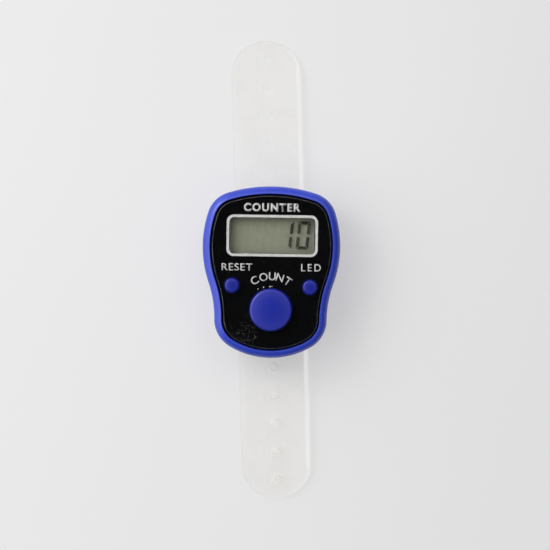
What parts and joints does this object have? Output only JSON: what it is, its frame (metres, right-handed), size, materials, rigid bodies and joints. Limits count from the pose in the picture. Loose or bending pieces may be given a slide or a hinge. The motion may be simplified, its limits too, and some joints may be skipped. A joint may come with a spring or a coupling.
{
  "type": "hand tally counter",
  "caption": "Digital finger tally counter: waisted blue case with a display, a large push button and two small ones, on a clear pegged finger strap threaded behind it.",
  "frame": {"origin": "middle of the flat strap's length and of the case's width, on the plane the strap bars and strap tips rest on", "axes": "+Z out of the face, +Y towards the display end, +X to the right of someone reading the display"},
  "size_m": [0.03, 0.1018, 0.014],
  "materials": {
    "blue_gloss": "glossy royal blue ABS",
    "blue_button": "glossy royal blue ABS",
    "zinc_steel": "zinc plated",
    "clear_acrylic": "clear, polished",
    "black_print": "black ink behind clear film",
    "tape": "black adhesive sheet",
    "green_board": "solder mask",
    "black_resin": "cured resin",
    "lamp": "LED body",
    "ceramic_chip": "chip resistor",
    "capacitor": "chip capacitor",
    "diffuser": "translucent white",
    "display_glass": "clear",
    "polariser": "smoky film",
    "reflector": "grey-green transflector",
    "elastomer": "layered silicone",
    "cell_steel": "nickel plated can",
    "spring_plate": "nickel plated spring strip",
    "dome_steel": "stainless",
    "clear_film": "clear polyester",
    "clear_strap": "clear flexible plastic"
  },
  "bodies": {
    "case": {"front_shell": "blue_gloss", "rear_cover": "blue_gloss", "case_screws": "zinc_steel", "face_lens": "clear_acrylic", "face_print": "black_print", "lens_tape": "tape", "circuit_board": "green_board", "pcb_screws": "zinc_steel", "controller_chip": "black_resin", "display_led": "lamp", "led_resistor": "ceramic_chip", "supply_capacitor": "capacitor", "light_guide": "diffuser", "lcd_front_glass": "display_glass", "lcd_rear_glass": "display_glass", "lcd_front_polariser": "polariser", "lcd_rear_polariser": "reflector", "zebra_strip": "elastomer", "cell_left": "cell_steel", "cell_right": "cell_steel", "cell_link": "spring_plate", "cell_contact_negative": "spring_plate", "cell_contact_positive": "spring_plate", "count_dome": "dome_steel", "reset_dome": "dome_steel", "led_dome": "dome_steel", "dome_film": "clear_film"},
    "count_key": {"count_button": "blue_button"},
    "reset_key": {"reset_button": "blue_button"},
    "led_key": {"led_button": "blue_button"},
    "strap_middle": {"strap_middle": "clear_strap"},
    "strap_upper_1": {"strap_upper_1": "clear_strap"},
    "strap_upper_2": {"strap_upper_2": "clear_strap"},
    "strap_upper_3": {"strap_upper_3": "clear_strap"},
    "strap_upper_4": {"strap_upper_4": "clear_strap"},
    "strap_lower_1": {"strap_lower_1": "clear_strap"},
    "strap_lower_2": {"strap_lower_2": "clear_strap"},
    "strap_lower_3": {"strap_lower_3": "clear_strap"},
    "strap_lower_4": {"strap_lower_4": "clear_strap"}
  },
  "joints": [
    {"name": "count_press", "type": "slide", "parent": "case", "child": "count_key", "axis": [0, 0, -1], "range_m": [0, 0.00045], "deforming": ["count_dome", "dome_film"]},
    {"name": "reset_press", "type": "slide", "parent": "case", "child": "reset_key", "axis": [0, 0, -1], "range_m": [0, 0.0003], "deforming": ["reset_dome", "dome_film"]},
    {"name": "led_press", "type": "slide", "parent": "case", "child": "led_key", "axis": [0, 0, -1], "range_m": [0, 0.0003], "deforming": ["led_dome", "dome_film"]},
    {"name": "strap_slide", "type": "slide", "parent": "case", "child": "strap_middle", "axis": [-0.0401, 0.9992, 0], "range_m": [-0.0015, 0.0015]},
    {"name": "strap_upper_fold", "type": "hinge", "parent": "strap_middle", "child": "strap_upper_1", "pos_m": [-0.00041, 0.01137, 0.0022], "axis": [-0.9992, -0.0401, 0], "range_deg": [0, 42.68]},
    {"name": "strap_upper_curl_2", "type": "hinge", "parent": "strap_upper_1", "child": "strap_upper_2", "pos_m": [-0.00069, 0.01845, 0.00191], "axis": [-0.9992, -0.0401, 0], "range_deg": [0, 45]},
    {"name": "strap_upper_curl_3", "type": "hinge", "parent": "strap_upper_2", "child": "strap_upper_3", "pos_m": [-0.00096, 0.02524, 0.00164], "axis": [-0.9992, -0.0401, 0], "range_deg": [0, 45]},
    {"name": "strap_upper_curl_4", "type": "hinge", "parent": "strap_upper_3", "child": "strap_upper_4", "pos_m": [-0.00122, 0.0316, 0.00138], "axis": [-0.9992, -0.0401, 0], "range_deg": [0, 45]},
    {"name": "strap_lower_fold", "type": "hinge", "parent": "strap_middle", "child": "strap_lower_1", "pos_m": [0.00054, -0.01218, 0.0022], "axis": [0.9992, 0.0401, 0], "range_deg": [0, 42.68]},
    {"name": "strap_lower_curl_2", "type": "hinge", "parent": "strap_lower_1", "child": "strap_lower_2", "pos_m": [0.00079, -0.01837, 0.00195], "axis": [0.9992, 0.0401, 0], "range_deg": [0, 45]},
    {"name": "strap_lower_curl_3", "type": "hinge", "parent": "strap_lower_2", "child": "strap_lower_3", "pos_m": [0.00104, -0.02456, 0.0017], "axis": [0.9992, 0.0401, 0], "range_deg": [0, 45]},
    {"name": "strap_lower_curl_4", "type": "hinge", "parent": "strap_lower_3", "child": "strap_lower_4", "pos_m": [0.00128, -0.03075, 0.00145], "axis": [0.9992, 0.0401, 0], "range_deg": [0, 45]}
  ],
  "couplings": [
    {"joint": "strap_upper_curl_2", "follows": "strap_upper_fold", "ratio": 1.0542},
    {"joint": "strap_upper_curl_3", "follows": "strap_upper_fold", "ratio": 1.0542},
    {"joint": "strap_upper_curl_4", "follows": "strap_upper_fold", "ratio": 1.0542},
    {"joint": "strap_lower_curl_2", "follows": "strap_lower_fold", "ratio": 1.0542},
    {"joint": "strap_lower_curl_3", "follows": "strap_lower_fold", "ratio": 1.0542},
    {"joint": "strap_lower_curl_4", "follows": "strap_lower_fold", "ratio": 1.0542}
  ]
}
